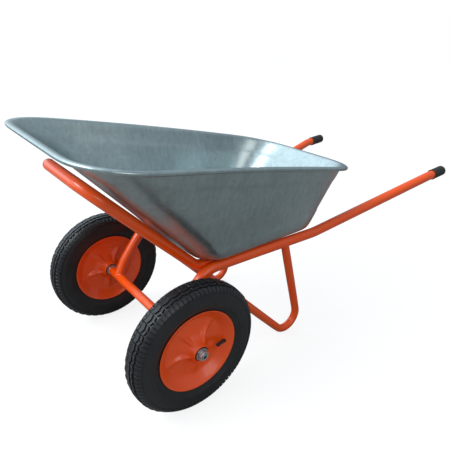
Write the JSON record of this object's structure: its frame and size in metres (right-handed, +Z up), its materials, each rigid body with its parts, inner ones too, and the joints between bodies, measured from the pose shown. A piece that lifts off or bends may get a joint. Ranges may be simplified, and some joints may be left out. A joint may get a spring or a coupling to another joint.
{
  "type": "wheelbarrow",
  "caption": "Garden wheelbarrow with a deep pressed metal tray on a bent tube frame, side-by-side pneumatic wheels on a cross axle, looped tube legs and plastic handle grips.",
  "frame": {"origin": "bottom centre of the bounding box, on the ground under the middle of the barrow", "axes": "+Z up, -Y towards the nose of the tray, +Y towards the handles, X along the axle, with the user's left side at +X"},
  "size_m": [0.618, 1.327, 0.6991],
  "materials": {
    "zinc_sheet": "galvanised, satin",
    "orange_paint": "glossy powder coat",
    "tyre_rubber": "matt rubber",
    "tube_rubber": "matt rubber",
    "plain_steel": "zinc plated",
    "black_plastic": "matt, moulded"
  },
  "bodies": {
    "frame": {"tray": "zinc_sheet", "front_loop": "orange_paint", "axle_tube": "orange_paint", "axle_rod": "plain_steel", "front_strap": "orange_paint", "rear_strap": "orange_paint", "bolt_front_left": "plain_steel", "nut_front_left": "plain_steel", "bolt_front_right": "plain_steel", "nut_front_right": "plain_steel", "bolt_rear_left": "plain_steel", "nut_rear_left": "plain_steel", "bolt_rear_right": "plain_steel", "nut_rear_right": "plain_steel", "left_rail": "orange_paint", "left_leg": "orange_paint", "left_grip": "black_plastic", "left_washer_outer": "plain_steel", "left_washer_inner": "plain_steel", "left_axle_nut": "plain_steel", "right_rail": "orange_paint", "right_leg": "orange_paint", "right_grip": "black_plastic", "right_washer_outer": "plain_steel", "right_washer_inner": "plain_steel", "right_axle_nut": "plain_steel"},
    "left_wheel": {"left_tyre": "tyre_rubber", "left_inner_tube": "tube_rubber", "left_rim_outer": "orange_paint", "left_rim_inner": "orange_paint", "left_hub": "plain_steel", "left_bearing_outer": "plain_steel", "left_bearing_inner": "plain_steel", "left_valve": "black_plastic", "left_valve_cap": "black_plastic"},
    "right_wheel": {"right_tyre": "tyre_rubber", "right_inner_tube": "tube_rubber", "right_rim_outer": "orange_paint", "right_rim_inner": "orange_paint", "right_hub": "plain_steel", "right_bearing_outer": "plain_steel", "right_bearing_inner": "plain_steel", "right_valve": "black_plastic", "right_valve_cap": "black_plastic"}
  },
  "joints": [
    {"name": "left_wheel_spin", "type": "hinge", "parent": "frame", "child": "left_wheel", "pos_m": [0.255, -0.409, 0.183], "axis": [1, 0, 0], "continuous": true},
    {"name": "right_wheel_spin", "type": "hinge", "parent": "frame", "child": "right_wheel", "pos_m": [-0.255, -0.409, 0.183], "axis": [1, 0, 0], "continuous": true}
  ]
}
